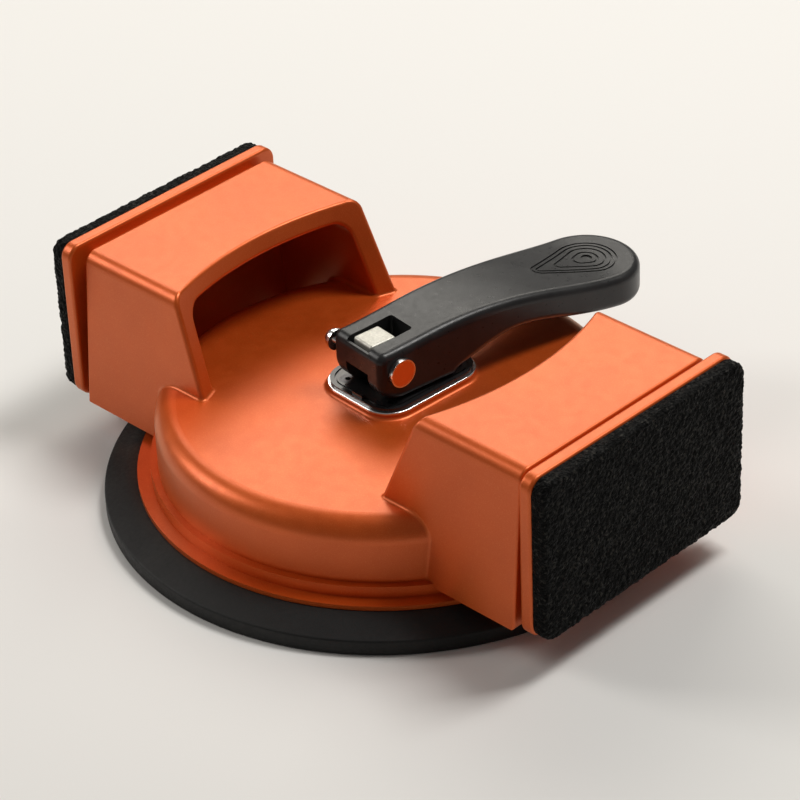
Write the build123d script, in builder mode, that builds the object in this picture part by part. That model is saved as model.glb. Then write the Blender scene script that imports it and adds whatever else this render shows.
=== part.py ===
from build123d import *
from math import cos, hypot, radians, sin
import os

# Suction gripper for shifting floor planks, locked by a cam lever. Millimetres.
# The origin is the centre of the suction pad, on the floor. +Z is up, +X runs
# through both strike pads, and the free end of the lever points towards +Y.

# Clearances
running_gap = 0.05        # radial gap of a shaft that turns or slides
fit_gap = 0.02            # radial gap of a thread or a press fit
washer_gap = 0.05         # on each face of the washers beside the draw bar's eye
cam_gap = 0.1             # between the lever's cam and the base plate
seat_gap = 0.1            # at each end of the spring
bed_gap = 0.1             # round the steel plate in its rubber bed
cheek_gap = 0.15          # between the lever's cheeks and the pin's two ends
pick_margin = 0.5         # tolerance where edges are picked by their position
cut_margin = 1.0          # how far a cutting outline reaches past its part

# Suction pad
pad_reach = 8.8           # from the flange to the pad's outer edge
pad_edge_height = 4.4
pad_edge_chamfer = 0.8
pad_top = 7.0             # where the housing's flange sits
pad_inner_top = 6.4
pad_lip = 8.0             # flat ring that seals on the floor
pad_hollow = 2.6          # height of the hollow over the floor
pad_hollow_radius = 46.0
pad_floor = 2.8           # rubber between the hollow and the steel plate
pad_inner_bevel = 1.0
pad_shoulder = 0.9        # rubber that shows round the flange before it slopes

# Drum of the housing
drum_radius = 60.7
flange_reach = 5.5        # past the drum
flange_thickness = 1.3
flange_edge_round = 0.5
ledge_reach = 1.9         # past the drum
ledge_height = 3.2
ledge_round = 0.6
drum_wall = 3.5
drum_roof = 3.5
drum_top = 28.3
drum_shoulder = 6.0
cavity_shoulder = 3.0
rib_count = 8
rib_thickness = 2.6
rib_depth = 7.0
boss_radius = 12.5
boss_depth = 4.3          # below the roof

# Loop handles, one at each end, cast in one piece with the drum
loop_reach = 15.8         # from the drum to the outer face of the end wall
loop_top = 54.3
loop_bottom = 10.3
loop_half_top = 33.6      # half width at the top and at the bottom edge
loop_half_bottom = 37.4
loop_band = 5.2           # thickness of the top band
loop_leg = 5.6            # thickness of the side walls
loop_end_wall = 5.6
loop_edge_round = 3.6
loop_hand_round = 4.5
loop_rim_round = 1.0
band_middle_inset = 12.3  # edge of the top band on the centre line, inside the drum's wall
band_corner_inset = 18.7  # edge of the top band at the side walls
foot_corner_inset = 28.3  # the same edge where the side walls meet the drum
loop_root_depth = 3.75    # length of side wall that is hidden inside the drum
loop_end_round = 0.8
foot_round = 1.0

# Strike plates and strike pads
neck_length = 2.0         # gap between the end wall and its plate
neck_inset = 3.2          # from the plate's upper and lower edges
neck_side_inset = 5.2
plate_thickness = 3.8
plate_half_width = 37.1
plate_bottom = 9.9
plate_top = 55.9
plate_corner = 4.0
plate_edge_round = 0.9
foam_thickness = 4.0
foam_inset = 0.4
foam_edge_round = 1.0
plate_screw_radius = 2.0
plate_screw_head = 3.8
plate_screw_length = 9.0
plate_screw_y = 24.0      # from the middle of the plate
plate_screw_z = 12.0
socket_share = 0.65       # size of a screw's hexagon socket against its shank

# Base plate and its bright trim, under the lever
lever_turn = 7.0          # the lever's line, turned from +Y towards +X, degrees
base_turn = 3.0
base_front = 12.3         # ahead of the drum's axis
base_back = 23.0
base_width = 27.6
base_shift = -1.1         # middle of the base plate, to the lever's right
base_corner = 7.8
seat_height = 1.3         # raised seat on the drum's top, under the trim
seat_foot_round = 1.2
trim_thickness = 0.6
trim_edge = 0.7           # width of trim that shows round the base plate
trim_bore = 5.0
base_thickness = 0.9
base_groove_inset = 1.2
base_groove_width = 0.5
base_groove_depth = 0.4
base_lug_width = 3.6
base_lug_length = 0.9
base_lug_height = 0.9
base_screw_radius = 1.25
base_screw_head = 2.1
base_screw_length = 5.5
base_screw_side = 5.8     # from the base plate's edges
base_screw_front = 5.3
base_screw_back = 6.0
base_boss_radius = 3.4
base_boss_depth = 4.0

# Draw bar and what it carries
stem_radius = 4.0
bush_radius = 6.5
bush_flange_gap = 0.38    # between the bush's flange and the screws beside it
bush_flange = 1.2
bush_tail = 1.0           # length that stands out below the boss
bar_thickness = 7.4       # flat eye, across the lever's fork
eye_radius = 4.1
eye_crown = 5.9           # flat top of the eye above the pin
eye_corner = 0.8
eye_side_round = 0.7
eye_foot = 1.0
eye_washer_radius = 4.0
eye_washer_thickness = 0.6
bar_plate_radius = 38.0
bar_plate_thickness = 1.6
bar_plate_edge_round = 0.6
nut_across_flats = 13.0
nut_height = 5.0
lock_nut_height = 3.2
washer_radius = 10.6
washer_thickness = 0.8
spring_mean_radius = 9.2
spring_wire = 1.6
spring_turns = 4.5

# Lever
pin_ahead = 4.0           # the pin lies this far ahead of the drum's axis
pin_radius = 2.6
cam_height = 8.8          # pin to base plate with the lever shut
cam_fall = 1.7            # drop of the pin for each radian of opening
cam_angles = (0, 15, 30, 45, 60, 75, 90)
open_angle = 75.0
stroke_margin = 0.3
nose_bar_depth = 1.1      # bar that closes the front of the fork
nose_bar_low = 1.0        # lower edge of the bar, below the pin
nose_bar_drop = 1.2       # upper edge of the bar, below the lever's top
window_back = 8.9         # back of the fork's window, behind the pin
window_round = 0.9
lever_edge_round = 2.3

# The lever's side outline: distances behind the pin, and drops from its top
lever_top = 6.1           # above the pin
lever_nose_round = 2.6
crest_back = 18.0
crest_rise = 1.1
waist_back = 45.0
waist_drop = 1.0
paddle_centre = 71.7
paddle_drop = 5.9
tip_drop = 6.5
tip_slope = -0.05
tip_low = 16.6
paddle_low = 15.3
arch_end = 50.0
arch_end_low = 10.9
arch_crown = 36.0
arch_crown_low = 9.2
foot_back = 18.2          # end of the flat foot
foot_run = 4.0
foot_rise = 2.2
foot_tangent = (-0.6, -1)
tip_tangent = (-1, 0.05)

# The lever's plan outline
lever_front_width = 19.8
shank_back = 16.0
shank_swell = 0.3         # growth of the half width
waist_swell = 2.1
paddle_radius = 14.0
lever_depth = 40.0        # height of the block that the outline cuts

# Thumb grooves: outlines of a large and a small circle, one inside the other
groove_width = 0.55
groove_depth = 0.35
groove_centre = 71.5      # of the large circles, behind the pin
groove_rings = (
    (8.2, 2.4, 16.4),     # large radius, small radius, distance between them
    (6.9, 1.1, 16.4),
    (5.3, 1.5, 9.5),
    (3.2, 2.4, 2.1),
)
dimple_radius = 1.5

# Pin, and the screw whose head laps over the pin's left end
head_radius = 3.85
head_thickness = 1.3
head_recess = 0.6
head_rim = 0.4
keeper_ahead = 4.35       # axis of the screw, ahead of the pin and above it
keeper_rise = 2.0         # high enough to clear the base plate when the lever is open
keeper_shank = 1.1
keeper_length = 4.5
keeper_radius = 2.9
keeper_collar = 0.7
keeper_dome_radius = 2.6
keeper_dome = 2.6
keeper_dome_flat = 0.3

# Sizes that follow from the ones above
flange_radius = drum_radius + flange_reach
ledge_radius = drum_radius + ledge_reach
pad_radius = flange_radius + pad_reach
loop_end = drum_radius + loop_reach
band_middle = drum_radius - band_middle_inset
band_corner = drum_radius - band_corner_inset
foot_corner = drum_radius - foot_corner_inset
base_screw_u = base_width / 2 - base_screw_side
nearest_screw = hypot(base_screw_u, base_front - base_screw_front)
bush_flange_radius = round(nearest_screw - base_screw_radius - bush_flange_gap, 2)
flange_top = pad_top + flange_thickness
ledge_top = flange_top + ledge_height
cavity_top = drum_top - drum_roof
boss_bottom = cavity_top - boss_depth
bar_plate_bottom = pad_hollow + pad_floor
bar_plate_top = bar_plate_bottom + bar_plate_thickness
seat_top = drum_top + seat_height
trim_top = seat_top + trim_thickness
base_top = trim_top + base_thickness
pin_z = base_top + cam_gap + cam_height
stroke = cam_fall * radians(open_angle)
eye_bottom = base_top + stroke + stroke_margin
fork_width = bar_thickness + 2 * (eye_washer_thickness + 2 * washer_gap)
tip_back = paddle_centre + paddle_radius + cut_margin
plate_inner_x = loop_end + neck_length
plate_outer_x = plate_inner_x + plate_thickness
plate_mid_z = (plate_top + plate_bottom) / 2
plate_height = plate_top - plate_bottom

# The lever's own planes: seen from above, and from its right side
lever_line = (sin(radians(lever_turn)), cos(radians(lever_turn)), 0)
lever_across = (cos(radians(lever_turn)), -sin(radians(lever_turn)), 0)
pin_point = (-pin_ahead * lever_line[0], -pin_ahead * lever_line[1], pin_z)
base_across = (cos(radians(base_turn)), -sin(radians(base_turn)), 0)
base_plane = Plane(origin=(0, 0, 0), x_dir=base_across, z_dir=(0, 0, 1))
side_plane = Plane(origin=pin_point, x_dir=lever_line, z_dir=lever_across)
top_plane = Plane(origin=pin_point, x_dir=lever_across, z_dir=(0, 0, 1))


def end_plane(side, x):
    """A plane across the X axis at one end, facing outwards, with its y upwards."""
    return Plane(origin=(side * x, 0, 0), x_dir=(0, side, 0), z_dir=(side, 0, 0))


def half_width_at(z):
    """Half width of a loop handle's outside at a height."""
    share = (z - loop_bottom) / (loop_top - loop_bottom)
    return loop_half_bottom + share * (loop_half_top - loop_half_bottom)


def cam_point(angle):
    """Point of the cam that bears on the base plate at one opening angle."""
    turn = radians(angle)
    support = cam_height - cam_fall * turn
    return (
        cam_fall * cos(turn) - support * sin(turn),
        -support * cos(turn) - cam_fall * sin(turn),
    )


def base_outline(inset, mode=Mode.ADD):
    """The rounded outline of the base plate's seat, drawn in by a border."""
    with Locations((base_shift, (base_back - base_front) / 2)):
        RectangleRounded(
            base_width - 2 * inset,
            base_front + base_back - 2 * inset,
            base_corner - inset,
            mode=mode,
        )


def teardrop(large, small, reach):
    """Outline round a large and a small circle, for the lever's thumb grooves."""
    with BuildSketch() as outline:
        with Locations((0, groove_centre)):
            Circle(large)
        with Locations((0, groove_centre - reach)):
            Circle(small)
        make_hull()
    return outline.sketch


def lever_spot(edge):
    """Middle of an edge seen from the lever: behind the pin, above it, across it."""
    return side_plane.to_local_coords(edge.center())


# Housing: the loop handles first, then the drum that joins them
slope = (band_corner - foot_corner) / (loop_top - drum_top)
loop_root = band_corner - slope * (loop_top - loop_bottom) - loop_root_depth
corner_half = half_width_at(loop_top)
band_sagitta = band_middle - band_corner
band_radius = (corner_half**2 + band_sagitta**2) / (2 * band_sagitta)
band_centre = band_middle - band_radius
hand_half_top = half_width_at(loop_top - loop_band) - loop_leg
hand_half_bottom = half_width_at(loop_bottom) - loop_leg
screw_points = [
    (y, plate_mid_z + z)
    for y in (-plate_screw_y, plate_screw_y)
    for z in (-plate_screw_z, plate_screw_z)
]
base_points = [
    (across, along)
    for across in (-base_screw_u, base_screw_u)
    for along in (base_screw_front - base_front, base_back - base_screw_back)
]

with BuildPart() as housing:
    with BuildSketch(end_plane(1, loop_root)) as loop_outline:
        with BuildLine():
            Polyline(
                (-loop_half_bottom, loop_bottom),
                (-loop_half_top, loop_top),
                (loop_half_top, loop_top),
                (loop_half_bottom, loop_bottom),
                close=True,
            )
        make_face()
        fillet(loop_outline.vertices().group_by(Axis.Y)[-1], loop_edge_round)
    extrude(amount=loop_end - loop_root)
    with BuildSketch(end_plane(1, loop_root)) as hand_outline:
        with BuildLine():
            Polyline(
                (-hand_half_bottom, loop_bottom),
                (-hand_half_top, loop_top - loop_band),
                (hand_half_top, loop_top - loop_band),
                (hand_half_bottom, loop_bottom),
                close=True,
            )
        make_face()
        fillet(hand_outline.vertices().group_by(Axis.Y)[-1], loop_hand_round)
    extrude(amount=loop_end - loop_end_wall - loop_root, mode=Mode.SUBTRACT)
    # The leaning front edge, curved in plan, is cut by a leaning cylinder
    with BuildSketch(Plane.XY.offset(loop_top)):
        with Locations((band_centre, 0)):
            Circle(band_radius)
    with BuildSketch(Plane.XY.offset(loop_bottom)):
        with Locations((band_centre - slope * (loop_top - loop_bottom), 0)):
            Circle(band_radius)
    loft(mode=Mode.SUBTRACT)
    rim_edges = housing.faces().filter_by(GeomType.BSPLINE).edges()
    fillet(rim_edges.filter_by(lambda e: e.center().Z > loop_bottom + pick_margin), loop_rim_round)
    fillet(housing.faces().sort_by(Axis.X)[-1].edges(), loop_end_round)
    with BuildSketch(end_plane(1, loop_end)):
        with Locations((0, plate_mid_z)):
            RectangleRounded(
                2 * (plate_half_width - neck_side_inset),
                plate_height - 2 * neck_inset,
                plate_corner,
            )
    extrude(amount=neck_length)
    mirror(about=Plane.YZ)
    with BuildSketch(Plane.XZ) as drum_section:
        with BuildLine():
            Polyline(
                (0, pad_top),
                (flange_radius, pad_top),
                (flange_radius, flange_top),
                (ledge_radius, flange_top),
                (ledge_radius, ledge_top),
                (drum_radius, ledge_top),
                (drum_radius, drum_top),
                (0, drum_top),
                close=True,
            )
        make_face()
        outer = drum_section.vertices().filter_by(lambda v: v.X > drum_radius - pick_margin)
        fillet(outer.group_by(Axis.Y)[-1], drum_shoulder)
        fillet(outer.filter_by(lambda v: abs(v.X - flange_radius) < pick_margin), flange_edge_round)
        fillet(outer.filter_by(lambda v: abs(v.Y - ledge_top) < pick_margin), ledge_round)
        fillet(outer.filter_by(lambda v: v.X == ledge_radius and v.Y < ledge_top), ledge_round)
    revolve(axis=Axis.Z)
    seams = housing.edges(Select.NEW).filter_by(lambda e: e.center().Z > ledge_top + pick_margin)
    fillet(seams.filter_by(lambda e: abs(e.center().Y) > loop_half_top - loop_leg), foot_round)
    # Raised seat for the trim and the base plate
    with BuildSketch(base_plane.offset(drum_top)):
        base_outline(0)
    extrude(amount=seat_height)
    seat_feet = housing.edges(Select.LAST).filter_by(lambda e: abs(e.center().Z - drum_top) < fit_gap)
    fillet(seat_feet, seat_foot_round)
    with BuildSketch(Plane.XZ) as cavity_section:
        with Locations(((drum_radius - drum_wall) / 2, (cavity_top + pad_top) / 2)):
            Rectangle(drum_radius - drum_wall, cavity_top - pad_top)
        corner = cavity_section.vertices().group_by(Axis.X)[-1].group_by(Axis.Y)[-1]
        fillet(corner, cavity_shoulder)
    revolve(axis=Axis.Z, mode=Mode.SUBTRACT)
    with BuildSketch(Plane.XY.offset(cavity_top)):
        with PolarLocations((boss_radius + drum_radius) / 2, rib_count, start_angle=180 / rib_count):
            Rectangle(drum_radius - boss_radius - drum_wall / 2, rib_thickness)
    extrude(amount=-rib_depth)
    with BuildSketch(Plane.XY.offset(cavity_top)):
        Circle(boss_radius)
    extrude(amount=-boss_depth)
    with BuildSketch(base_plane.offset(cavity_top)):
        with Locations(*base_points):
            Circle(base_boss_radius)
    extrude(amount=-base_boss_depth)
    with BuildSketch(Plane.XY.offset(boss_bottom - rib_depth)):
        Circle(bush_radius + fit_gap)
    extrude(amount=drum_top, mode=Mode.SUBTRACT)
    with BuildSketch(Plane.XY.offset(seat_top)):
        Circle(bush_flange_radius + fit_gap)
    extrude(amount=-bush_flange, mode=Mode.SUBTRACT)
    with BuildSketch(base_plane.offset(seat_top)):
        with Locations(*base_points):
            Circle(base_screw_radius + fit_gap)
    extrude(amount=-base_screw_length, mode=Mode.SUBTRACT)
    for side in (-1, 1):
        with BuildSketch(end_plane(side, plate_outer_x)):
            with Locations(*screw_points):
                Circle(plate_screw_radius + fit_gap)
        extrude(amount=-plate_screw_length, mode=Mode.SUBTRACT)
housing.part.label = "housing"

# Suction pad: one rubber moulding, hollow underneath
with BuildPart() as suction_pad:
    with BuildSketch(Plane.XZ):
        with BuildLine():
            Polyline(
                (0, pad_hollow),
                (pad_hollow_radius, pad_hollow),
                (pad_radius - pad_lip, 0),
                (pad_radius, 0),
                (pad_radius, pad_edge_height - pad_edge_chamfer),
                (pad_radius - pad_edge_chamfer, pad_edge_height),
                (flange_radius + pad_shoulder, pad_top),
                (drum_radius - drum_wall, pad_top),
                (drum_radius - drum_wall - pad_inner_bevel, pad_inner_top),
                (bar_plate_radius + bed_gap, pad_inner_top),
                (bar_plate_radius + bed_gap, bar_plate_bottom),
                (0, bar_plate_bottom),
                close=True,
            )
        make_face()
    revolve(axis=Axis.Z)
suction_pad.part.label = "suction_pad"

# Guide bush, pressed into the boss from above
with BuildPart() as guide_bush:
    with BuildSketch(Plane.XY.offset(boss_bottom - bush_tail)):
        Circle(bush_radius)
        Circle(stem_radius + running_gap, mode=Mode.SUBTRACT)
    extrude(amount=seat_top - bush_flange - boss_bottom + bush_tail)
    with BuildSketch(Plane.XY.offset(seat_top - bush_flange)):
        Circle(bush_flange_radius)
        Circle(stem_radius + running_gap, mode=Mode.SUBTRACT)
    extrude(amount=bush_flange)
guide_bush.part.label = "guide_bush"

# Washer that the spring bears on, under the boss
with BuildPart() as spring_washer:
    with BuildSketch(Plane.XY.offset(boss_bottom - washer_thickness)):
        Circle(washer_radius)
        Circle(bush_radius + running_gap, mode=Mode.SUBTRACT)
    extrude(amount=washer_thickness)
spring_washer.part.label = "spring_washer"

# Return spring, between the washer and the steel plate on the pad
spring_low = bar_plate_top + seat_gap + spring_wire / 2
spring_high = boss_bottom - washer_thickness - seat_gap - spring_wire / 2
with BuildPart() as return_spring:
    with BuildLine() as coil:
        Helix(
            pitch=(spring_high - spring_low) / spring_turns,
            height=spring_high - spring_low,
            radius=spring_mean_radius,
            center=(0, 0, spring_low),
        )
    with BuildSketch(Plane(origin=coil.line @ 0, z_dir=coil.line % 0)):
        Circle(spring_wire / 2)
    sweep(is_frenet=True)
return_spring.part.label = "return_spring"


def hexagon_nut(low, height):
    """A hexagon nut on the draw bar's thread."""
    with BuildPart() as nut:
        with BuildSketch(Plane.XY.offset(low)):
            RegularPolygon(nut_across_flats / 2, 6, major_radius=False)
            Circle(stem_radius + fit_gap, mode=Mode.SUBTRACT)
        extrude(amount=height)
    return nut.part


pad_nut = hexagon_nut(bar_plate_top, nut_height)
pad_nut.label = "pad_nut"
lock_nut = hexagon_nut(bar_plate_top + nut_height, lock_nut_height)
lock_nut.label = "lock_nut"

# Steel plate bonded into the pad, which the draw bar lifts
with BuildPart() as pad_plate:
    with BuildSketch(Plane.XY.offset(bar_plate_bottom)):
        Circle(bar_plate_radius)
        Circle(stem_radius + fit_gap, mode=Mode.SUBTRACT)
    extrude(amount=bar_plate_thickness)
    rims = pad_plate.edges().filter_by(GeomType.CIRCLE).sort_by(SortBy.RADIUS)[-2:]
    fillet(rims, bar_plate_edge_round)
pad_plate.part.label = "pad_plate"

# Draw bar: a round stem below, and a flat eye ahead of it for the lever's pin
bar_tip = bar_plate_bottom + bed_gap
with BuildPart() as draw_bar:
    with BuildSketch(Plane.XY.offset(bar_tip)):
        Circle(stem_radius)
    extrude(amount=eye_bottom - bar_tip)
    with BuildSketch(side_plane) as eye_outline:
        stem_back = pin_ahead + stem_radius - fit_gap
        with BuildLine():
            Polyline(
                (pin_ahead - stem_radius + fit_gap, eye_bottom - pin_z),
                (stem_back, eye_bottom - pin_z),
                (stem_back, eye_bottom - pin_z + eye_foot),
                (eye_radius, 0),
                (eye_radius, eye_crown),
                (-eye_radius, eye_crown),
                (-eye_radius, 0),
                (pin_ahead - stem_radius + fit_gap, -eye_radius),
                close=True,
            )
        make_face()
        crown = eye_outline.vertices().group_by(Axis.Y)[-1]
        fillet(crown, eye_corner)
        Circle(eye_radius)
    extrude(amount=bar_thickness / 2, both=True)
    uprights = draw_bar.edges().filter_by(Axis.Z)
    fillet(uprights.filter_by(lambda e: lever_spot(e).Y > pick_margin), eye_side_round)
    with BuildSketch(side_plane):
        Circle(pin_radius + running_gap)
    extrude(amount=bar_thickness, both=True, mode=Mode.SUBTRACT)
draw_bar.part.label = "draw_bar"

# Washers that fill the fork on both sides of the eye
with BuildPart() as eye_washers:
    for side in (-1, 1):
        with BuildSketch(side_plane.offset(side * (bar_thickness / 2 + washer_gap))):
            Circle(eye_washer_radius)
            Circle(pin_radius + running_gap, mode=Mode.SUBTRACT)
        extrude(amount=side * eye_washer_thickness)
eye_washers.part.label = "eye_washers"


# Bright trim sheet, and the black base plate that is screwed down over it
with BuildPart() as base_trim:
    with BuildSketch(base_plane.offset(seat_top)):
        base_outline(0)
        Circle(trim_bore, mode=Mode.SUBTRACT)
        with Locations(*base_points):
            Circle(base_screw_radius + fit_gap, mode=Mode.SUBTRACT)
    extrude(amount=trim_thickness)
    fillet(base_trim.faces().sort_by(Axis.Z)[-1].outer_wire().edges(), trim_thickness / 2)
base_trim.part.label = "base_trim"

groove_inset = trim_edge + base_groove_inset
with BuildPart() as base_plate:
    with BuildSketch(base_plane.offset(trim_top)):
        base_outline(trim_edge)
        Circle(stem_radius + running_gap, mode=Mode.SUBTRACT)
        with Locations(*base_points):
            Circle(base_screw_radius + fit_gap, mode=Mode.SUBTRACT)
    extrude(amount=base_thickness)
    with BuildSketch(base_plane.offset(base_top)):
        base_outline(groove_inset)
        base_outline(groove_inset + base_groove_width, mode=Mode.SUBTRACT)
    extrude(amount=-base_groove_depth, mode=Mode.SUBTRACT)
    with BuildSketch(base_plane.offset(base_top)):
        with Locations((0, base_lug_length - base_front + trim_edge)):
            Rectangle(base_lug_width, base_lug_length)
    extrude(amount=base_lug_height)
    with BuildSketch(base_plane.offset(base_top)):
        with Locations(*base_points):
            Circle(base_screw_head + fit_gap)
    extrude(amount=base_screw_radius - base_screw_head, taper=45, mode=Mode.SUBTRACT)
base_plate.part.label = "base_plate"


def countersunk_screws(points, plane, shank, head, head_height, length):
    """Flat headed screws with hexagon sockets, their heads flush with a plane."""
    with BuildPart() as screws:
        with BuildSketch(plane):
            with Locations(*points):
                Circle(head)
        extrude(amount=-head_height, taper=45)
        with BuildSketch(plane):
            with Locations(*points):
                Circle(shank)
        extrude(amount=-length)
        with BuildSketch(plane):
            with Locations(*points):
                RegularPolygon(shank * socket_share, 6)
        extrude(amount=-head_height, mode=Mode.SUBTRACT)
    return screws.part


base_screws = countersunk_screws(
    base_points,
    base_plane.offset(base_top),
    base_screw_radius,
    base_screw_head,
    base_screw_head - base_screw_radius,
    base_screw_length,
)
base_screws.label = "base_screws"

# Lever: its side outline, cut to its plan outline
cam_line = [cam_point(angle) for angle in cam_angles]
nose_x = cam_line[-1][0]
nose_low = (nose_x, lever_top - lever_nose_round)
nose_high = (nose_x + lever_nose_round, lever_top)
tip_high = (tip_back, lever_top - tip_drop)
tip_under = (tip_back, lever_top - tip_low)
foot_end = (foot_back, -cam_height)
front_half = lever_front_width / 2
front_y = nose_x - cut_margin
with BuildPart() as lever:
    with BuildSketch(side_plane):
        with BuildLine():
            Spline(*cam_line)
            Line(cam_line[-1], nose_low)
            RadiusArc(nose_low, nose_high, lever_nose_round)
            Spline(
                nose_high,
                (crest_back, lever_top + crest_rise),
                (waist_back, lever_top - waist_drop),
                (paddle_centre, lever_top - paddle_drop),
                tip_high,
                tangents=((1, 0), (1, tip_slope)),
            )
            Line(tip_high, tip_under)
            Spline(
                tip_under,
                (paddle_centre, lever_top - paddle_low),
                (arch_end, lever_top - arch_end_low),
                (arch_crown, lever_top - arch_crown_low),
                (foot_back + foot_run, foot_rise - cam_height),
                foot_end,
                tangents=(tip_tangent, foot_tangent),
            )
            Line(foot_end, cam_line[0])
        make_face()
    extrude(amount=paddle_radius + cut_margin, both=True)
    with BuildSketch(top_plane.offset(-lever_depth / 2)):
        with BuildLine():
            Line((-front_half, front_y), (front_half, front_y))
            Spline(
                (front_half, front_y),
                (front_half + shank_swell, shank_back),
                (front_half + waist_swell, waist_back),
                (paddle_radius, paddle_centre),
                tangents=((0, 1), (0, 1)),
            )
            RadiusArc((paddle_radius, paddle_centre), (-paddle_radius, paddle_centre), -paddle_radius)
            Spline(
                (-paddle_radius, paddle_centre),
                (-front_half - waist_swell, waist_back),
                (-front_half - shank_swell, shank_back),
                (-front_half, front_y),
                tangents=((0, -1), (0, -1)),
            )
        make_face()
    extrude(amount=lever_depth, mode=Mode.INTERSECT)
    rims = lever.edges().filter_by(GeomType.BSPLINE).filter_by(lambda e: lever_spot(e).X > crest_back)
    fillet(rims.filter_by(lambda e: abs(lever_spot(e).Z) > front_half / 2), lever_edge_round)
    # Thumb grooves, all to one depth below the curved top
    with BuildPart(mode=Mode.PRIVATE) as grooves:
        with BuildSketch(top_plane):
            for large, small, reach in groove_rings:
                add(teardrop(large, small, reach))
                add(teardrop(large - groove_width, small - groove_width, reach), mode=Mode.SUBTRACT)
            with Locations((0, groove_centre)):
                Circle(dimple_radius)
        extrude(amount=lever_depth / 2, both=True)
        with BuildSketch(side_plane):
            with BuildLine():
                groove_bed = Spline(
                    (crest_back, lever_top + crest_rise - groove_depth),
                    (waist_back, lever_top - waist_drop - groove_depth),
                    (paddle_centre, lever_top - paddle_drop - groove_depth),
                    (tip_back, lever_top - tip_drop - groove_depth),
                    tangents=((1, 0), (1, tip_slope)),
                )
                Polyline(
                    groove_bed @ 1,
                    (tip_back, lever_depth),
                    (crest_back, lever_depth),
                    groove_bed @ 0,
                )
            make_face()
        extrude(amount=paddle_radius, both=True, mode=Mode.INTERSECT)
    add(grooves.part, mode=Mode.SUBTRACT)
    # The fork that holds the draw bar's eye, open above, below and low in front
    with BuildSketch(side_plane):
        with Locations(((window_back + nose_x + nose_bar_depth) / 2, 0)):
            Rectangle(window_back - nose_x - nose_bar_depth, 4 * cam_height)
    extrude(amount=fork_width / 2, both=True, mode=Mode.SUBTRACT)
    uprights = lever.edges(Select.LAST).filter_by(Axis.Z)
    fillet(uprights.filter_by(lambda e: lever_spot(e).X > window_back - pick_margin), window_round)
    with BuildSketch(side_plane):
        with Locations((nose_x, -nose_bar_low - cam_height)):
            Rectangle(2 * nose_bar_depth + cut_margin, 2 * cam_height)
        with Locations((nose_x, lever_top - nose_bar_drop + cam_height)):
            Rectangle(2 * nose_bar_depth + cut_margin, 2 * cam_height)
    extrude(amount=fork_width / 2, both=True, mode=Mode.SUBTRACT)
    with BuildSketch(side_plane):
        Circle(pin_radius + fit_gap)
    extrude(amount=paddle_radius, both=True, mode=Mode.SUBTRACT)
    with BuildSketch(side_plane.offset(-front_half)):
        with Locations((-keeper_ahead, keeper_rise)):
            Circle(keeper_shank + fit_gap)
    extrude(amount=keeper_length, mode=Mode.SUBTRACT)
lever.part.label = "lever"

# Pin through the lever's cheeks and the eye
cheek = front_half + cheek_gap
with BuildPart() as hinge_pin:
    with BuildSketch(side_plane.offset(-cheek)):
        Circle(pin_radius)
    extrude(amount=2 * cheek)
    with BuildSketch(side_plane.offset(cheek)):
        Circle(head_radius)
    extrude(amount=head_thickness)
    with BuildSketch(side_plane.offset(cheek + head_thickness)):
        Circle(head_radius - head_rim)
    extrude(amount=-head_recess, mode=Mode.SUBTRACT)
hinge_pin.part.label = "hinge_pin"

with BuildPart() as pin_cap:
    with BuildSketch(side_plane.offset(cheek + head_thickness - head_recess)):
        Circle(head_radius - head_rim - fit_gap)
    extrude(amount=head_recess)
pin_cap.part.label = "pin_cap"

# Dome headed screw in the left cheek, whose head keeps the pin in
keeper_plane = Plane(
    origin=side_plane.offset(-cheek).from_local_coords((-keeper_ahead, keeper_rise, 0)),
    x_dir=lever_line,
    z_dir=lever_across,
)
with BuildPart() as keeper_screw:
    with BuildSketch(keeper_plane):
        Circle(keeper_shank)
    extrude(amount=keeper_length)
    with BuildSketch(keeper_plane):
        Circle(keeper_radius)
    extrude(amount=-keeper_collar)
    with BuildSketch(keeper_plane.offset(-keeper_collar)):
        Circle(keeper_dome_radius)
    extrude(amount=-keeper_dome)
    dome_rim = keeper_screw.edges().filter_by(GeomType.CIRCLE).sort_by(Axis.X)[0]
    fillet(dome_rim, keeper_dome - keeper_dome_flat)
keeper_screw.part.label = "keeper_screw"


def strike_plate(side):
    """Steel plate that takes the blows, screwed to a loop handle's end wall."""
    with BuildPart() as plate:
        with BuildSketch(end_plane(side, plate_inner_x)):
            with Locations((0, plate_mid_z)):
                RectangleRounded(2 * plate_half_width, plate_height, plate_corner)
        extrude(amount=plate_thickness)
        inner = plate.faces().filter_by(Axis.X).sort_by(Axis.X)
        fillet(inner[0].edges() + inner[-1].edges(), plate_edge_round)
        outer_face = end_plane(side, plate_outer_x)
        with BuildSketch(outer_face):
            with Locations(*screw_points):
                Circle(plate_screw_head + fit_gap)
        extrude(amount=plate_screw_radius - plate_screw_head, taper=45, mode=Mode.SUBTRACT)
        with BuildSketch(outer_face):
            with Locations(*screw_points):
                Circle(plate_screw_radius + fit_gap)
        extrude(amount=-plate_thickness, mode=Mode.SUBTRACT)
    return plate.part


def strike_pad(side):
    """Foam pad glued over a strike plate."""
    with BuildPart() as pad:
        with BuildSketch(end_plane(side, plate_outer_x)):
            with Locations((0, plate_mid_z)):
                RectangleRounded(
                    2 * (plate_half_width - foam_inset),
                    plate_height - 2 * foam_inset,
                    plate_corner,
                )
        extrude(amount=foam_thickness)
        rim = pad.faces().filter_by(Axis.X).sort_by(Axis.X)[-1 if side > 0 else 0]
        fillet(rim.edges(), foam_edge_round)
    return pad.part


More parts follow.
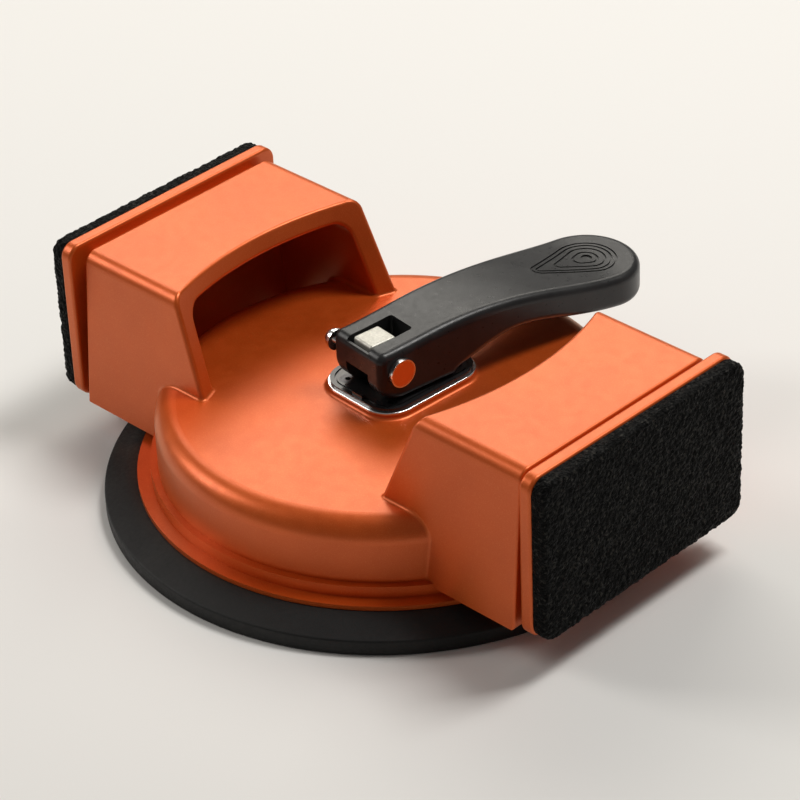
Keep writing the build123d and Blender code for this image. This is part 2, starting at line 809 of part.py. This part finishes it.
pieces = [
    housing.part,
    suction_pad.part,
    guide_bush.part,
    spring_washer.part,
    return_spring.part,
    pad_plate.part,
    pad_nut,
    lock_nut,
    draw_bar.part,
    eye_washers.part,
    base_trim.part,
    base_plate.part,
    base_screws,
    lever.part,
    hinge_pin.part,
    pin_cap.part,
    keeper_screw.part,
]
for side, name in ((-1, "left"), (1, "right")):
    plate = strike_plate(side)
    plate.label = "strike_plate_" + name
    pad = strike_pad(side)
    pad.label = "strike_pad_" + name
    screws = countersunk_screws(
        screw_points,
        end_plane(side, plate_outer_x),
        plate_screw_radius,
        plate_screw_head,
        plate_screw_head - plate_screw_radius,
        plate_screw_length,
    )
    screws.label = "plate_screws_" + name
    pieces += [plate, pad, screws]

os.makedirs("parts", exist_ok=True)
for piece in pieces:
    export_step(piece, "parts/" + piece.label + ".step")
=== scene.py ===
"""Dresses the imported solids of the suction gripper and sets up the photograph's view of it.

The solids keep their shapes and get procedural materials. The foam on the strike plates
and the rubber suction pad are made here. Names in capitals hold lengths in millimetres,
unless a comment says otherwise. Lamps and Blender's own places are in metres.
"""

import math

import bmesh
import bpy
from mathutils import Matrix, Vector, noise


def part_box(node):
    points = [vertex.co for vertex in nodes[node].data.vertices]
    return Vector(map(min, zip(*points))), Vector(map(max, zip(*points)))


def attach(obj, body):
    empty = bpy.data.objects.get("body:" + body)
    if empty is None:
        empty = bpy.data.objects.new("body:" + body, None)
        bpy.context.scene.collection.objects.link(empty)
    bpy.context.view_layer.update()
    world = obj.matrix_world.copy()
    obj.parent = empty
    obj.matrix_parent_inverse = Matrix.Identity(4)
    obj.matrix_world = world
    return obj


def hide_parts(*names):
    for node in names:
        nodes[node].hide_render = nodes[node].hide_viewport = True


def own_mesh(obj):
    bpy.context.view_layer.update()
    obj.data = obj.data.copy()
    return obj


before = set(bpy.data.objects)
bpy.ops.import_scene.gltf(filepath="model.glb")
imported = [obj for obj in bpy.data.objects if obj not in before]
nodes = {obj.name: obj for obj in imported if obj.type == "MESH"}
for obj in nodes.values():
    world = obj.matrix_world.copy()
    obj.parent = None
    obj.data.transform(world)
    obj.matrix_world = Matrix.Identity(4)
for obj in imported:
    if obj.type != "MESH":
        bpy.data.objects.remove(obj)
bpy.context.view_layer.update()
scene = bpy.context.scene
MM = 0.001

# The photograph's camera: angles in degrees
CAMERA_AZIMUTH = 45.321
CAMERA_ELEVATION = 33.261
CAMERA_ROLL = -2.434
CAMERA_DISTANCE = 855.73
CAMERA_TARGET = (-3.30, 6.85, 20.0)
CAMERA_FOCAL_PX = 3300.48
SENSOR_WIDTH = 36.0
FRAME_PX = 800

# Lamps: name, place, width and height, power in watts, tint
LAMP_TARGET = (0, 0, 0.02)
LAMPS = (
    ("back_box", (-0.59, 0.59, 0.69), (0.9, 0.45), 4.9, (1, 0.96, 0.88)),
    ("left_box", (-0.75, -0.45, 0.6), (0.35, 0.45), 3.3, (1, 0.97, 0.93)),
    ("top_box", (0.22, 0.4, 0.95), (0.25, 0.4), 6.3, (1, 0.98, 0.95)),
)
SKY_TINT = (1.0, 0.97, 0.93, 1)
SKY_STRENGTH = 0.14
FLOOR_TONE = (0.80, 0.79, 0.77)
FLOOR_REACH = 6           # metres from the middle to an edge

# Foam on the strike plates
FOAM_PITCH = 0.42         # distance between the points of its surface
FOAM_CORNER = 4.0
FOAM_EDGE = 1.1           # rounding of its outer edge
FOAM_RINGS = 7            # rows of points down its sides
FOAM_RELIEF = 0.42
FOAM_LIMIT = 0.25         # most that a crumb stands proud of the face
FOAM_SIDE_LIMIT = 0.2     # the same, on its sides
FOAM_BACK_GAP = 0.02      # between its back and the plate
FOAM_BACK_TUCK = 0.1      # how far its last ring draws in
FOAM_EDGE_LEAN = 0.7      # share of the sideways direction in the edge's relief
CRUMB_SIZE = 1.15
CRUMB_RISE = 0.75         # share of the relief at a crumb's middle
CRUMB_FALL = 1.35         # share of the relief lost towards its rim
SWELL_SIZE = 3.1
SWELL_SHARE = 0.35

# Profile of the suction pad: radii, and heights over the floor
RUBBER_RADIUS = 75.0
RUBBER_TOP = 7.0
SEAM_RADIUS = 57.0        # between the rim, which stays put, and the middle, which moves
SEAM_HOLLOW = 1.24        # height of the hollow there
SEAM_LAP = 0.02
SLOPE_START = 67.1        # the upper side falls from here
SLOPE_END = 74.2
SLOPE_END_HEIGHT = 4.4
LIP_START = 67.0          # flat sealing ring, out to the rubber's edge
LIP_GROOVES = (68.9, 72.1)
LIP_GROOVE_MOUTH = 0.5    # half its width on the floor
LIP_GROOVE_FLOOR = 0.2    # half its width at its bottom
LIP_GROOVE_DEPTH = 0.25
LOWER_ROUND = 0.6
UPPER_ROUND = 0.7
UPPER_ROUND_HEIGHT = 3.75
OUTER_WAIST = 2.0         # height of a ring of points on the outer edge
HOLLOW_HEIGHT = 2.6
HOLLOW_RADIUS = 45.2
HOLLOW_SHOULDER = (46.8, 2.5)
HOLLOW_FLANK = ((62.0, 0.62), (66.4, 0.05))
INNER_RING = 20.0         # rings of points across the flats
OUTER_RING = 62.0
UPPER_RINGS = (72.5, 70.0)
BED_HEIGHT = 5.4          # bed of the steel plate
BED_RADIUS = 38.1
BED_BEVEL = (0.2, 0.15)
INNER_TOP = 6.4
INNER_TOP_RADIUS = 56.2
RIM_SEGMENTS = 256
MIDDLE_SEGMENTS = 128


# Camera, light and floor

def make_camera():
    azimuth, elevation, roll = (math.radians(a) for a in (CAMERA_AZIMUTH, CAMERA_ELEVATION, CAMERA_ROLL))
    back = Vector((
        math.sin(azimuth) * math.cos(elevation),
        -math.cos(azimuth) * math.cos(elevation),
        math.sin(elevation),
    ))
    level = Vector((math.cos(azimuth), math.sin(azimuth), 0))
    upward = back.cross(level)
    right = math.cos(roll) * level + math.sin(roll) * upward
    up = math.cos(roll) * upward - math.sin(roll) * level
    data = bpy.data.cameras.new("photo_camera")
    camera = bpy.data.objects.new("photo_camera", data)
    scene.collection.objects.link(camera)
    data.sensor_width = SENSOR_WIDTH
    data.lens = CAMERA_FOCAL_PX / FRAME_PX * data.sensor_width
    data.clip_start = 0.05
    data.clip_end = 20.0
    place = Vector(CAMERA_TARGET) * MM + back * CAMERA_DISTANCE * MM
    turn = Matrix((right, up, back)).transposed().to_4x4()
    camera.matrix_world = Matrix.Translation(place) @ turn
    scene.camera = camera


def area_light(name, place, size, power, tint):
    data = bpy.data.lights.new(name, "AREA")
    data.shape = "RECTANGLE"
    data.size, data.size_y = size
    data.energy = power
    data.color = tint
    lamp = bpy.data.objects.new(name, data)
    scene.collection.objects.link(lamp)
    lamp.location = place
    lamp.rotation_mode = "QUATERNION"
    lamp.rotation_quaternion = (Vector(LAMP_TARGET) - Vector(place)).to_track_quat("-Z", "Y")


def make_studio():
    scene.view_settings.view_transform = "Standard"
    world = bpy.data.worlds.new("studio")
    scene.world = world
    world.use_nodes = True
    sky = world.node_tree.nodes["Background"]
    sky.inputs["Color"].default_value = SKY_TINT
    sky.inputs["Strength"].default_value = SKY_STRENGTH
    for lamp in LAMPS:
        area_light(*lamp)
    mesh = bpy.data.meshes.new("floor")
    shape = bmesh.new()
    bmesh.ops.create_grid(shape, x_segments=1, y_segments=1, size=FLOOR_REACH)
    shape.to_mesh(mesh)
    shape.free()
    floor = bpy.data.objects.new("floor", mesh)
    scene.collection.objects.link(floor)
    paper, _ = plain_material("floor_paper", FLOOR_TONE, 0.95)
    floor.data.materials.append(paper)


# Materials

def plain_material(name, colour, roughness, metallic=0.0):
    material = bpy.data.materials.new(name)
    material.use_nodes = True
    shader = material.node_tree.nodes["Principled BSDF"]
    shader.inputs["Base Color"].default_value = (*colour, 1)
    shader.inputs["Roughness"].default_value = roughness
    shader.inputs["Metallic"].default_value = metallic
    return material, shader


class Weave:
    """Builds a procedural material. All its lengths are in millimetres."""

    def __init__(self, name, colour, roughness, metallic=0.0):
        self.material, self.shader = plain_material(name, colour, roughness, metallic)
        self.tree = self.material.node_tree
        coordinates = self.add("ShaderNodeTexCoord")
        self.millimetres = self.add("ShaderNodeMapping")
        self.millimetres.inputs["Scale"].default_value = (1 / MM, 1 / MM, 1 / MM)
        self.link(coordinates.outputs["Object"], self.millimetres.inputs["Vector"])
        self.bumps = []

    def add(self, kind):
        return self.tree.nodes.new(kind)

    def link(self, a, b):
        self.tree.links.new(a, b)

    def stretched(self, stretch):
        mapping = self.add("ShaderNodeMapping")
        mapping.inputs["Scale"].default_value = stretch
        self.link(self.millimetres.outputs["Vector"], mapping.inputs["Vector"])
        return mapping.outputs["Vector"]

    def noise(self, size, detail=2.0, rough=0.5, stretch=None):
        node = self.add("ShaderNodeTexNoise")
        node.inputs["Scale"].default_value = 1 / size
        node.inputs["Detail"].default_value = detail
        node.inputs["Roughness"].default_value = rough
        vector = self.millimetres.outputs["Vector"] if stretch is None else self.stretched(stretch)
        self.link(vector, node.inputs["Vector"])
        return node.outputs["Fac"]

    def cells(self, size, output="Distance"):
        node = self.add("ShaderNodeTexVoronoi")
        node.inputs["Scale"].default_value = 1 / size
        self.link(self.millimetres.outputs["Vector"], node.inputs["Vector"])
        return node.outputs[output]

    def spread(self, value, low_in, high_in, low_out, high_out):
        node = self.add("ShaderNodeMapRange")
        node.inputs["From Min"].default_value = low_in
        node.inputs["From Max"].default_value = high_in
        node.inputs["To Min"].default_value = low_out
        node.inputs["To Max"].default_value = high_out
        self.link(value, node.inputs["Value"])
        return node.outputs["Result"]

    def mixed(self, share, first, second):
        node = self.add("ShaderNodeMix")
        node.data_type = "RGBA"
        for socket, colour in ((node.inputs[6], first), (node.inputs[7], second)):
            if isinstance(colour, tuple):
                socket.default_value = (*colour, 1)
            else:
                self.link(colour, socket)
        self.link(share, node.inputs[0])
        return node.outputs[2]

    def colour(self, output):
        self.link(output, self.shader.inputs["Base Color"])

    def roughness(self, value, low, high, low_in=0.3, high_in=0.7):
        self.link(self.spread(value, low_in, high_in, low, high), self.shader.inputs["Roughness"])

    def bump(self, height, depth, strength=1.0):
        """Adds a relief of this depth, on top of the ones added before it."""
        node = self.add("ShaderNodeBump")
        node.inputs["Strength"].default_value = strength
        node.inputs["Distance"].default_value = depth * MM
        self.link(height, node.inputs["Height"])
        if self.bumps:
            self.link(self.bumps[-1].outputs["Normal"], node.inputs["Normal"])
        self.bumps.append(node)
        self.link(node.outputs["Normal"], self.shader.inputs["Normal"])

    def gloss(self, coat=0.0, coat_roughness=0.1, specular=0.5):
        self.shader.inputs["Coat Weight"].default_value = coat
        self.shader.inputs["Coat Roughness"].default_value = coat_roughness
        self.shader.inputs["Specular IOR Level"].default_value = specular


def orange_paint():
    weave = Weave("orange_paint", (0.68, 0.085, 0.012), 0.37, 0.48)
    cloud = weave.noise(24.0, 3.0, 0.55)
    flake = weave.noise(0.22, 1.0, 0.5)
    body = weave.mixed(weave.spread(cloud, 0.35, 0.65, 0, 1), (0.58, 0.074, 0.003), (0.65, 0.09, 0.006))
    weave.colour(weave.mixed(weave.spread(flake, 0.52, 0.75, 0, 0.3), body, (0.8, 0.24, 0.06)))
    weave.roughness(weave.noise(3.0, 3.0), 0.36, 0.45)
    weave.bump(weave.noise(0.9, 2.0), 0.012)
    weave.bump(flake, 0.004)
    weave.gloss(0.4, 0.32, 0.6)
    weave.shader.inputs["Specular Tint"].default_value = (1.0, 0.95, 0.55, 1)
    return weave.material


def black_paint():
    weave = Weave("black_powder_coat", (0.016, 0.016, 0.0165), 0.42)
    weave.colour(weave.mixed(
        weave.spread(weave.noise(9.0, 3.0), 0.35, 0.65, 0, 1),
        (0.013, 0.013, 0.0135),
        (0.022, 0.022, 0.0225),
    ))
    weave.roughness(weave.noise(1.6, 3.0), 0.27, 0.36)
    weave.bump(weave.noise(0.28, 2.0, 0.6), 0.02)
    weave.gloss(0.0, 0.1, 0.32)
    return weave.material


def base_black():
    weave = Weave("black_gloss_base", (0.012, 0.012, 0.013), 0.3)
    weave.roughness(weave.noise(2.5, 3.0), 0.25, 0.36)
    weave.bump(weave.noise(0.8, 2.0), 0.01)
    weave.gloss(0.25, 0.15)
    return weave.material


def pad_rubber():
    weave = Weave("moulded_rubber", (0.018, 0.018, 0.0185), 0.55)
    weave.colour(weave.mixed(
        weave.spread(weave.noise(14.0, 4.0), 0.35, 0.65, 0, 1),
        (0.005, 0.005, 0.0051),
        (0.009, 0.0087, 0.0082),
    ))
    weave.gloss(0.0, 0.1, 0.3)
    weave.roughness(weave.noise(1.1, 3.0), 0.45, 0.6)
    weave.bump(weave.noise(0.35, 3.0, 0.65), 0.05)
    weave.bump(weave.noise(3.5, 2.0), 0.03)
    return weave.material


def strike_foam():
    weave = Weave("granular_foam", (0.006, 0.006, 0.006), 0.5)
    # Cells of the crumbs: the red share picks the painted glints, the green share sets the roughness
    glint_and_gloss_cells = weave.cells(0.6, "Color")
    glint_and_gloss_channels = weave.add("ShaderNodeSeparateColor")
    weave.link(glint_and_gloss_cells, glint_and_gloss_channels.inputs["Color"])
    # Crumbs with the highest red share get a lighter colour, a painted glint on the black foam
    weave.colour(weave.mixed(
        weave.spread(glint_and_gloss_channels.outputs["Red"], 0.86, 1.0, 0, 1),
        (0.0015, 0.0015, 0.0014),
        (0.032, 0.03, 0.026),
    ))
    weave.link(weave.spread(glint_and_gloss_channels.outputs["Green"], 0, 1, 0.35, 0.8), weave.shader.inputs["Roughness"])
    weave.bump(weave.cells(0.55), 0.25)
    weave.bump(weave.noise(0.2, 2.0), 0.08)
    weave.gloss(0.0, 0.1, 0.08)
    return weave.material


def bright_chrome():
    weave = Weave("bright_chrome", (0.86, 0.86, 0.86), 0.2, 1.0)
    weave.roughness(weave.noise(1.2, 3.0), 0.16, 0.27)
    weave.bump(weave.noise(2.0, 2.0), 0.004)
    return weave.material


def cap_orange():
    weave = Weave("orange_cap", (0.9, 0.13, 0.012), 0.4, 0.0)
    brushed = weave.noise(0.5, 2.0, 0.5, (1, 1, 9))
    weave.colour(weave.mixed(weave.spread(brushed, 0.3, 0.7, 0, 1), (0.9, 0.12, 0.009), (1.0, 0.16, 0.016)))
    weave.roughness(brushed, 0.28, 0.42)
    weave.bump(brushed, 0.01)
    weave.gloss(0.3, 0.2)
    return weave.material


def cast_silver():
    weave = Weave("cast_silver", (0.8, 0.78, 0.72), 0.42, 0.55)
    grain = weave.noise(0.5, 3.0, 0.6)
    weave.colour(weave.mixed(weave.spread(grain, 0.35, 0.65, 0, 1), (0.44, 0.43, 0.385), (0.56, 0.545, 0.49)))
    weave.roughness(weave.noise(0.9, 3.0), 0.34, 0.55)
    weave.bump(grain, 0.05)
    return weave.material


def machined_steel(name, colour, roughness):
    weave = Weave(name, colour, roughness, 1.0)
    turned = weave.noise(0.6, 3.0, 0.6, (1, 1, 6))
    dark = tuple(c * 0.82 for c in colour)
    weave.colour(weave.mixed(weave.spread(turned, 0.3, 0.7, 0, 1), dark, colour))
    weave.roughness(turned, roughness - 0.06, roughness + 0.1)
    weave.bump(turned, 0.008)
    return weave.material


def dress(names, material):
    for name in names:
        mesh = nodes[name].data
        mesh.materials.clear()
        mesh.materials.append(material)


# Pieces made here

def new_piece(name, shape, material, body, smooth=True):
    mesh = bpy.data.meshes.new(name)
    bmesh.ops.recalc_face_normals(shape, faces=shape.faces)
    for face in shape.faces:
        face.smooth = smooth
    shape.to_mesh(mesh)
    shape.free()
    mesh.materials.append(material)
    piece = bpy.data.objects.new(name, mesh)
    scene.collection.objects.link(piece)
    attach(piece, body)
    return piece


def crumbs(point):
    """Relief of the foam at a point: rounded crumbs with dark pits between them."""
    from_middle = noise.voronoi(point / CRUMB_SIZE)[0][0]
    swell = noise.noise(point / SWELL_SIZE)
    relief = FOAM_RELIEF * (CRUMB_RISE - CRUMB_FALL * from_middle + SWELL_SHARE * swell)
    return min(FOAM_LIMIT, relief)


def foam_pad(side, node, material):
    """A slab of crumbly foam on a strike plate."""
    low, high = (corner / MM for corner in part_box(node))
    middle = (low + high) / 2
    half_y, half_z = (high.y - low.y) / 2, (high.z - low.z) / 2
    inner, outer = (low.x, high.x) if side > 0 else (high.x, low.x)
    columns = int(2 * half_y / FOAM_PITCH)
    rows = int(2 * half_z / FOAM_PITCH)

    def rounded(y, z):
        """Moves a point of the full rectangle inside the rounded one, and gives its distance to the edge."""
        over_y, over_z = abs(y) - (half_y - FOAM_CORNER), abs(z) - (half_z - FOAM_CORNER)
        if over_y > 0 and over_z > 0:
            scale = max(over_y, over_z) / math.hypot(over_y, over_z)
            y = math.copysign(half_y - FOAM_CORNER + over_y * scale, y)
            z = math.copysign(half_z - FOAM_CORNER + over_z * scale, z)
            margin = FOAM_CORNER - math.hypot(over_y, over_z) * scale
        else:
            margin = min(half_y - abs(y), half_z - abs(z))
        return y, z, margin

    shape = bmesh.new()
    grid = {}
    for i in range(columns + 1):
        for j in range(rows + 1):
            y, z, margin = rounded(-half_y + 2 * half_y * i / columns, -half_z + 2 * half_z * j / rows)
            inset = max(0.0, FOAM_EDGE - margin)
            drop = FOAM_EDGE - math.sqrt(max(0.0, FOAM_EDGE**2 - inset**2))
            point = Vector((outer - side * drop, middle.y + y, middle.z + z))
            sideways = inset * FOAM_EDGE_LEAN
            outward = Vector((side * (FOAM_EDGE - drop), y / half_y * sideways, z / half_z * sideways))
            point += outward.normalized() * crumbs(point)
            grid[i, j] = shape.verts.new(point * MM)
    for i in range(columns):
        for j in range(rows):
            shape.faces.new((grid[i, j], grid[i + 1, j], grid[i + 1, j + 1], grid[i, j + 1]))
    rim = [(i, 0) for i in range(columns)] + [(columns, j) for j in range(rows)]
    rim += [(i, rows) for i in range(columns, 0, -1)] + [(0, j) for j in range(rows, 0, -1)]
    above = [grid[key] for key in rim]
    flat = [rounded(-half_y + 2 * half_y * i / columns, -half_z + 2 * half_z * j / rows)[:2] for i, j in rim]
    for step in range(1, FOAM_RINGS + 1):
        share = step / FOAM_RINGS
        x = (outer - side * FOAM_EDGE) * (1 - share) + (inner + side * FOAM_BACK_GAP) * share
        ring = []
        for y, z in flat:
            point = Vector((x, middle.y + y, middle.z + z))
            outward = Vector((0, y * half_z, z * half_y)).normalized()
            relief = crumbs(point) if step < FOAM_RINGS else -FOAM_BACK_TUCK
            ring.append(shape.verts.new((point + outward * min(relief, FOAM_SIDE_LIMIT)) * MM))
        for k in range(len(rim)):
            following = (k + 1) % len(rim)
            shape.faces.new((above[k], above[following], ring[following], ring[k]))
        above = ring
    shape.faces.new(above)
    piece = new_piece("foam_" + node, shape, material, "body", smooth=False)
    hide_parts(node)


def turned_piece(name, profile, closed, segments, material, body):
    """A ring or disc turned about the Z axis from a profile of (radius, height)."""
    shape = bmesh.new()
    rings = []
    for radius, height in profile:
        if radius == 0:
            rings.append([shape.verts.new((0, 0, height * MM))])
            continue
        rings.append([
            shape.verts.new((
                radius * math.cos(2 * math.pi * k / segments) * MM,
                radius * math.sin(2 * math.pi * k / segments) * MM,
                height * MM,
            ))
            for k in range(segments)
        ])
    pairs = list(zip(rings, rings[1:])) + ([(rings[-1], rings[0])] if closed else [])
    for one, two in pairs:
        for k in range(segments):
            n = (k + 1) % segments
            if len(one) == 1:
                shape.faces.new((one[0], two[k], two[n]))
            elif len(two) == 1:
                shape.faces.new((one[k], one[n], two[0]))
            else:
                shape.faces.new((one[k], one[n], two[n], two[k]))
    return new_piece(name, shape, material, body)


def arc(centre, radius, start, end, steps):
    """Points of an arc in a profile, angles in degrees."""
    return [
        (
            centre[0] + radius * math.cos(math.radians(start + (end - start) * k / steps)),
            centre[1] + radius * math.sin(math.radians(start + (end - start) * k / steps)),
        )
        for k in range(steps + 1)
    ]


def rubber_pad(material):
    """The suction pad as two pieces, a rim and a middle, both on the main body; on the real pad the draw bar
    moves the middle.
    """
    slope = (RUBBER_TOP - SLOPE_END_HEIGHT) / (SLOPE_END - SLOPE_START)
    lean = math.degrees(math.atan(slope))
    rim = [(SEAM_RADIUS, SEAM_HOLLOW), *HOLLOW_FLANK, (LIP_START, 0.0)]
    for middle in LIP_GROOVES:
        rim += [
            (middle - LIP_GROOVE_MOUTH, 0.0),
            (middle - LIP_GROOVE_FLOOR, LIP_GROOVE_DEPTH),
            (middle + LIP_GROOVE_FLOOR, LIP_GROOVE_DEPTH),
            (middle + LIP_GROOVE_MOUTH, 0.0),
        ]
    rim += arc((RUBBER_RADIUS - LOWER_ROUND, LOWER_ROUND), LOWER_ROUND, -90, 0, 4)
    rim += [(RUBBER_RADIUS, OUTER_WAIST)]
    rim += arc((RUBBER_RADIUS - UPPER_ROUND, UPPER_ROUND_HEIGHT), UPPER_ROUND, 0, 90 - lean, 6)
    rim += [(radius, RUBBER_TOP - (radius - SLOPE_START) * slope) for radius in UPPER_RINGS]
    rim += [(SLOPE_START, RUBBER_TOP), (OUTER_RING, RUBBER_TOP), (SEAM_RADIUS, RUBBER_TOP)]
    turned_piece("pad_rim", rim, True, RIM_SEGMENTS, material, "body")

    edge = SEAM_RADIUS + SEAM_LAP
    middle = [
        (0, HOLLOW_HEIGHT),
        (INNER_RING, HOLLOW_HEIGHT),
        (HOLLOW_RADIUS, HOLLOW_HEIGHT),
        HOLLOW_SHOULDER,
        (edge, SEAM_HOLLOW),
        (edge, RUBBER_TOP - SEAM_LAP),
        (INNER_TOP_RADIUS, INNER_TOP),
        (BED_RADIUS + BED_BEVEL[0], INNER_TOP),
        (BED_RADIUS, INNER_TOP - BED_BEVEL[1]),
        (BED_RADIUS, BED_HEIGHT),
        (INNER_RING, BED_HEIGHT),
        (0, BED_HEIGHT),
    ]
    disc = turned_piece("pad_middle", middle, False, MIDDLE_SEGMENTS, material, "body")
    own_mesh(disc)
    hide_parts("suction_pad")


make_camera()
make_studio()

orange = orange_paint()
steel = machined_steel("zinc_plated_steel", (0.62, 0.62, 0.6), 0.34)
dress(["housing", "strike_plate_left", "strike_plate_right"], orange)
dress(["lever"], black_paint())
dress(["base_plate"], base_black())
dress(["base_trim", "hinge_pin", "keeper_screw"], bright_chrome())
dress(["pin_cap"], cap_orange())
dress(["draw_bar"], cast_silver())
dress(["spring_washer", "eye_washers", "pad_plate", "pad_nut", "lock_nut"], steel)
dress(["return_spring"], machined_steel("spring_wire", (0.4, 0.4, 0.42), 0.3))
dress(["guide_bush"], machined_steel("turned_bronze", (0.55, 0.38, 0.18), 0.3))
dress(
    ["base_screws", "plate_screws_left", "plate_screws_right"],
    machined_steel("blackened_steel", (0.1, 0.1, 0.105), 0.38),
)
rubber = pad_rubber()
dress(["suction_pad", "strike_pad_left", "strike_pad_right"], rubber)

foam = strike_foam()
foam_pad(1, "strike_pad_right", foam)
foam_pad(-1, "strike_pad_left", foam)
rubber_pad(rubber)
